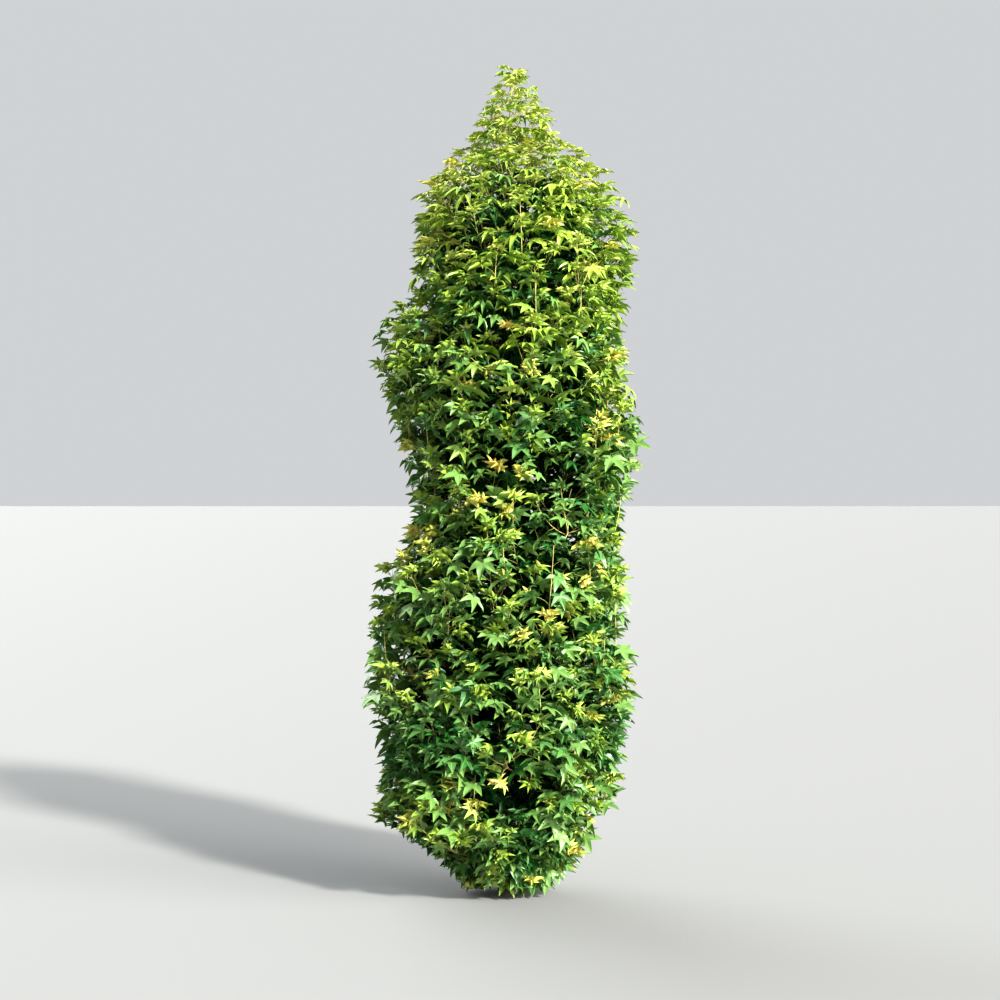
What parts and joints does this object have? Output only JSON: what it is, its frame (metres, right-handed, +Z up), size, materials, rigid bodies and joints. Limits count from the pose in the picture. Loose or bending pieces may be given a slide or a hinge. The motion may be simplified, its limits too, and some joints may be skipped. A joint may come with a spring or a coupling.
{
  "type": "columnar sweetgum tree",
  "caption": "Narrow upright young sweetgum, clothed to the ground in star-shaped leaves on steep boughs round one straight trunk.",
  "frame": {"origin": "middle of the flat cut under the trunk, at ground level", "axes": "+Z up along the trunk, +X to the right and -Y towards the viewer of the picture"},
  "size_m": [1.1177, 1.0907, 3.2952],
  "materials": {
    "trunk_bark": "grey-brown young bark, finely furrowed",
    "bough_bark": "smooth olive-brown young bark",
    "foliage": "satin leaves, deep green low down and inside, yellow-green at the top and at the shoots' tips"
  },
  "bodies": {
    "root": {"trunk": "trunk_bark", "bough_01_front": "bough_bark", "bough_02_right": "bough_bark", "bough_03_left": "bough_bark", "bough_04_front": "bough_bark", "bough_05_back": "bough_bark", "bough_06_left": "bough_bark", "bough_07_right": "bough_bark", "bough_08_back": "bough_bark", "bough_09_front": "bough_bark", "bough_10_right": "bough_bark", "bough_11_left": "bough_bark", "bough_12_front": "bough_bark", "bough_13_back": "bough_bark", "bough_14_front": "bough_bark", "bough_15_right": "bough_bark", "bough_16_left": "bough_bark", "bough_17_front": "bough_bark", "bough_18_back": "bough_bark", "bough_19_left": "bough_bark", "bough_20_right": "bough_bark", "bough_21_back": "bough_bark", "bough_22_front": "bough_bark", "bough_23_right": "bough_bark", "bough_24_left": "bough_bark", "bough_25_front": "bough_bark", "foliage_01_front": "foliage", "foliage_02_right": "foliage", "foliage_03_left": "foliage", "foliage_04_front": "foliage", "foliage_05_back": "foliage", "foliage_06_left": "foliage", "foliage_07_right": "foliage", "foliage_08_back": "foliage", "foliage_09_front": "foliage", "foliage_10_right": "foliage", "foliage_11_left": "foliage", "foliage_12_front": "foliage", "foliage_13_back": "foliage", "foliage_14_front": "foliage", "foliage_15_right": "foliage", "foliage_16_left": "foliage", "foliage_17_front": "foliage", "foliage_18_back": "foliage", "foliage_19_left": "foliage", "foliage_20_right": "foliage", "foliage_21_back": "foliage", "foliage_22_front": "foliage", "foliage_23_right": "foliage", "foliage_24_left": "foliage", "foliage_25_front": "foliage", "foliage_leader": "foliage"}
  },
  "joints": []
}
